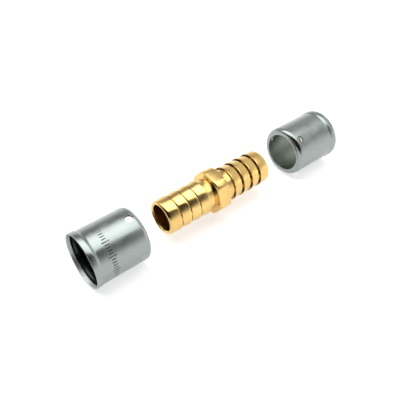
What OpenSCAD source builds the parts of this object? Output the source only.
// Press coupling for plastic water pipe: a barbed brass body with a hexagon at its middle,
// and a stainless press sleeve for each end, laid out on the body's axis before fitting.
// Millimetres. +X runs along the bore, +Z is up, the origin is the middle of the bore.
// Each sleeve slides along X until its lip meets the hexagon.

/* [Body] */
// length of the body from end face to end face
body_length = 43; // [42.2:0.2:50]
// diameter of the through bore
bore_d = 9.2; // [8:0.1:9.6]
// width of the countersink at each mouth of the bore
bore_chamfer = 0.35; // [0.1:0.05:0.5]
// diameter over the smooth band at each end
end_d = 11.8; // [11.6:0.1:12.1]
// chamfer on the outside of each end face
end_chamfer = 0.5; // [0.2:0.1:0.7]

/* [Barbs] */
// barbs on each stub
barb_count = 4; // [2:1:4]
// diameter over the barbs
barb_d = 12.2; // [12.1:0.1:12.6]
// diameter at the foot of each ramp
barb_root_d = 11.4; // [11.2:0.1:11.6]
// distance from one barb edge to the next
barb_pitch = 3.9; // [3.4:0.1:4]
// distance from the end face to the first barb edge
first_barb = 4.2; // [3.8:0.1:4.4]
// flat land on top of each barb
barb_land = 0.3; // [0.2:0.1:0.8]
// length of the groove in front of each steep barb face
groove_length = 0.7; // [0.3:0.05:0.7]
// depth of that groove below the foot of the ramp
groove_depth = 0.4; // [0.1:0.05:0.45]
// diameter of the neck between the last barb and the hexagon
neck_d = 10.9; // [10.6:0.1:11.2]

/* [Hexagon] */
// width across the flats
hex_af = 14.4; // [14.2:0.1:15]
// width of the hexagon along the axis
hex_width = 4.8; // [4:0.2:6]
// diameter that the six corners are turned down to
hex_round_d = 15.4; // [15.1:0.1:16.3]
// diameter of the round face on each side of the hexagon
hex_face_d = 14; // [13.6:0.1:14]
// slope of the turned corners at the edge of that face
hex_crown_angle = 30; // [20:5:35]
// turn of the hexagon about the axis, from a corner pointing straight down
hex_turn = 38; // [0:1:60]

/* [Sleeves] */
// outside diameter of the plain barrel
sleeve_od = 18; // [17.8:0.1:18.6]
// thickness of the sheet
sleeve_wall = 0.65; // [0.5:0.05:0.8]
// length from lip to mouth
sleeve_length = 19.4; // [18.8:0.2:22]
// outside diameter at the belled mouth
mouth_od = 18.5; // [18.1:0.1:19]
// length of the belled mouth
bell_length = 2.5; // [2:0.1:3]
// length of the flare inside the mouth
flare_length = 1.2; // [0.6:0.1:1.2]
// width that the flare opens out on each side
flare_step = 0.3; // [0.1:0.05:0.35]
// outside radius of the shoulder that turns in to the lip
shoulder_r = 1.6; // [1.2:0.1:1.8]
// diameter of the hole inside the lip
lip_hole_d = 13.6; // [12.8:0.1:13.8]

/* [Sight holes] */
// sight holes around each sleeve
sight_holes = 3; // [1:1:4]
// diameter of a sight hole
sight_d = 2.5; // [2:0.1:3]
// distance from the lip to the centre of a sight hole
sight_inset = 2.9; // [2.7:0.1:4]
// turn of the left sleeve's first hole from straight up
left_sight_turn = 11; // [0:1:120]
// turn of the right sleeve's first hole from straight up
right_sight_turn = 35; // [0:1:120]

/* [Layout] */
// gap between the left sleeve's lip and the body
left_gap = 9.3; // [1:0.1:30]
// gap between the right sleeve's lip and the body
right_gap = 12.6; // [1:0.1:30]

/* [Hidden] */

$fn = 96;
body_half = body_length / 2;
bore_r = bore_d / 2;
end_r = end_d / 2;
barb_r = barb_d / 2;
barb_root_r = barb_root_d / 2;
neck_r = neck_d / 2;

hex_corner_d = hex_af / cos(30);
// the corners are turned to a sphere that meets the face at its round edge
hex_crown_r = hex_face_d / 2 / sin(hex_crown_angle);
hex_crown_x = hex_width / 2 - hex_crown_r * cos(hex_crown_angle);

sleeve_r = sleeve_od / 2;
sleeve_bore_r = sleeve_r - sleeve_wall;
mouth_r = mouth_od / 2;
mouth_bore_r = mouth_r - sleeve_wall;
lip_hole_r = lip_hole_d / 2;
// steps in each quarter turn of the shoulder
shoulder_steps = 8;
// length over which the bell opens out from the barrel
bell_step = 0.7;
bell_start = sleeve_length - bell_length;

// cutters run past the faces that they open
overrun = 1;

brass = [0.83, 0.66, 0.33];
stainless = [0.60, 0.64, 0.63];

// Place of a barb's edge along the right-hand stub, where barb 0 is nearest the end.
function barb_edge(i) = body_half - first_barb - i * barb_pitch;

// A quarter arc as [radius, place along the axis], from the lip's face out to the barrel.
function shoulder_arc(centre_r, centre_x, r) =
    [for (k = [0 : shoulder_steps])
        let (a = 90 * k / shoulder_steps)
        [centre_r + r * sin(a), centre_x - r * cos(a)]];

// Reverses a list of points.
function reversed(points) = [for (k = [len(points) - 1 : -1 : 0]) points[k]];

// Turns a profile of [radius, place] points about the X axis.
module turned(points) {
    rotate([0, 90, 0])
        rotate_extrude()
            polygon(points);
}

// The right-hand half of the body, solid: neck, barbs and smooth end.
module stub() {
    barbs = [for (i = [barb_count - 1 : -1 : 0]) each concat(
        i == barb_count - 1
            ? [[neck_r, barb_edge(i)]]
            : [[barb_root_r, barb_edge(i) - groove_length],
                [barb_root_r - groove_depth, barb_edge(i)]],
        [[barb_r, barb_edge(i)], [barb_r, barb_edge(i) + barb_land]]
    )];
    turned(concat(
        [[0, 0], [neck_r, 0]],
        barbs,
        [[end_r, body_half - end_chamfer], [end_r - end_chamfer, body_half], [0, body_half]]
    ));
}

// The ball that turns back the corners on one side of the hexagon: 1 right, -1 left.
module hexagon_crown(side) {
    translate([side * hex_crown_x, 0, 0])
        rotate([0, 90, 0])
            sphere(r = hex_crown_r);
}

// The hexagon, with its corners turned down and crowned to a round face on each side.
module crowned_hexagon() {
    intersection() {
        rotate([hex_turn, 0, 0])
            rotate([0, 90, 0])
                cylinder(d = hex_corner_d, h = hex_width, center = true, $fn = 6);
        rotate([0, 90, 0])
            cylinder(d = hex_round_d, h = hex_width, center = true);
        hexagon_crown(1);
        hexagon_crown(-1);
    }
}

// Countersink at the right-hand mouth of the bore.
module bore_countersink() {
    turned([
        [0, body_half - bore_chamfer - bore_r],
        [bore_r + bore_chamfer + overrun, body_half + overrun],
        [0, body_half + overrun]
    ]);
}

// A sleeve standing on the +X side of its lip, which is at X = 0.
module press_sleeve(first_hole_turn) {
    outside = concat(
        shoulder_arc(sleeve_r - shoulder_r, shoulder_r, shoulder_r),
        [[sleeve_r, bell_start], [mouth_r, bell_start + bell_step], [mouth_r, sleeve_length]]
    );
    inside = concat(
        [[lip_hole_r, 0], [lip_hole_r, sleeve_wall]],
        shoulder_arc(sleeve_r - shoulder_r, shoulder_r, shoulder_r - sleeve_wall),
        [[sleeve_bore_r, bell_start], [mouth_bore_r, bell_start + bell_step],
            [mouth_bore_r, sleeve_length - flare_length],
            [mouth_bore_r + flare_step, sleeve_length]]
    );
    difference() {
        turned(concat(inside, reversed(outside)));
        for (k = [0 : sight_holes - 1])
            rotate([first_hole_turn + k * 360 / sight_holes, 0, 0])
                translate([sight_inset, 0, 0])
                    cylinder(d = sight_d, h = sleeve_r + overrun);
    }
}

module coupling_body() {
    color(brass)
    difference() {
        union() {
            stub();
            mirror([1, 0, 0])
                stub();
            crowned_hexagon();
        }
        rotate([0, 90, 0])
            cylinder(r = bore_r, h = body_length + 2 * overrun, center = true);
        bore_countersink();
        mirror([1, 0, 0])
            bore_countersink();
    }
}

module left_press_sleeve() {
    color(stainless)
    translate([-body_half - left_gap, 0, 0])
        mirror([1, 0, 0])
            press_sleeve(left_sight_turn);
}

module right_press_sleeve() {
    color(stainless)
    translate([body_half + right_gap, 0, 0])
        press_sleeve(right_sight_turn);
}

coupling_body();
left_press_sleeve();
right_press_sleeve();
